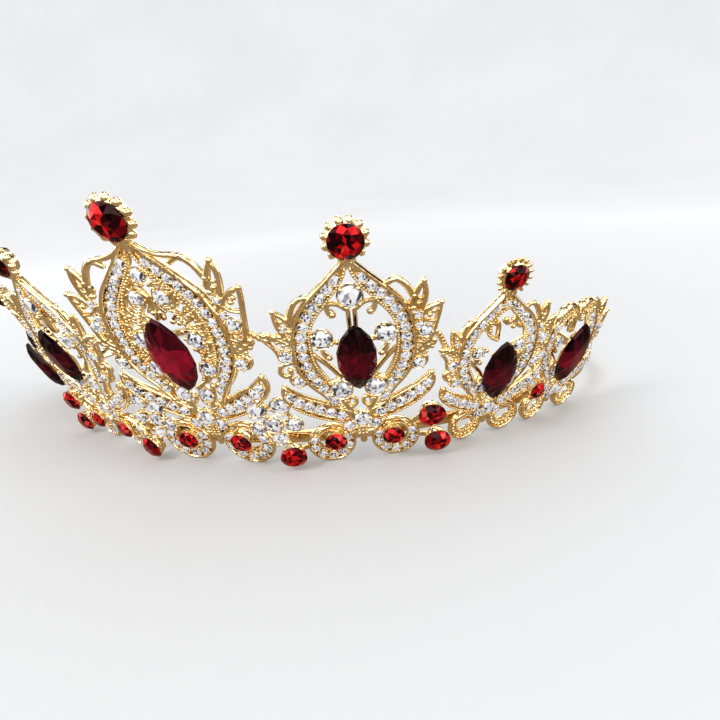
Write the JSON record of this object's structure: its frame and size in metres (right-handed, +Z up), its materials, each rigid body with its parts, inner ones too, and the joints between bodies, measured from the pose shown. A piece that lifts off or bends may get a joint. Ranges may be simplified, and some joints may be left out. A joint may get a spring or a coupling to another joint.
{
  "type": "tiara",
  "caption": "Open-backed tiara: leaning openwork motifs with dark red navette stones, red finials and a scrolled lower gallery, fixed to a thin springy headband.",
  "frame": {"origin": "middle of the footprint, on the plane the tiara stands on", "axes": "+Z up; -Y the way the wearer faces, with the centre motif on -Y; +X along the headband, towards the wearer's left"},
  "size_m": [0.167, 0.1266, 0.0592],
  "materials": {
    "pale_gold": "polished pale gold plating",
    "garnet_stone": "polished, faceted, foil-backed",
    "ruby_stone": "polished, faceted, foil-backed",
    "clear_stone": "polished, faceted, foil-backed"
  },
  "bodies": {
    "root": {"headband": "pale_gold", "casting_center": "pale_gold", "gallery_center": "pale_gold", "marquise_center": "garnet_stone", "pave_center": "clear_stone", "finial_cup_center": "pale_gold", "finial_stone_center": "ruby_stone", "casting_left_1": "pale_gold", "gallery_left_1": "pale_gold", "marquise_left_1": "garnet_stone", "pave_left_1": "clear_stone", "finial_cup_left_1": "pale_gold", "finial_stone_left_1": "ruby_stone", "casting_left_2": "pale_gold", "gallery_left_2": "pale_gold", "marquise_left_2": "garnet_stone", "pave_left_2": "clear_stone", "finial_cup_left_2": "pale_gold", "finial_stone_left_2": "ruby_stone", "casting_left_3": "pale_gold", "gallery_left_3": "pale_gold", "marquise_left_3": "garnet_stone", "pave_left_3": "clear_stone", "casting_right_1": "pale_gold", "gallery_right_1": "pale_gold", "marquise_right_1": "garnet_stone", "pave_right_1": "clear_stone", "finial_cup_right_1": "pale_gold", "finial_stone_right_1": "ruby_stone", "casting_right_2": "pale_gold", "gallery_right_2": "pale_gold", "marquise_right_2": "garnet_stone", "pave_right_2": "clear_stone", "finial_cup_right_2": "pale_gold", "finial_stone_right_2": "ruby_stone", "casting_right_3": "pale_gold", "gallery_right_3": "pale_gold", "marquise_right_3": "garnet_stone", "pave_right_3": "clear_stone", "crescent_stone_center_left": "ruby_stone", "crescent_stone_center_right": "ruby_stone", "crescent_stone_left_1_left": "ruby_stone", "crescent_stone_left_1_right": "ruby_stone", "crescent_stone_right_1_left": "ruby_stone", "crescent_stone_right_1_right": "ruby_stone", "crescent_stone_left_3_right": "ruby_stone", "crescent_stone_right_3_left": "ruby_stone", "drop_stone_left_1_inner_low": "ruby_stone", "drop_stone_left_1_outer_low": "ruby_stone", "drop_stone_left_1_outer_high": "ruby_stone", "drop_stone_right_1_inner_low": "ruby_stone", "drop_stone_right_1_outer_low": "ruby_stone", "drop_stone_right_1_outer_high": "ruby_stone"}
  },
  "joints": []
}
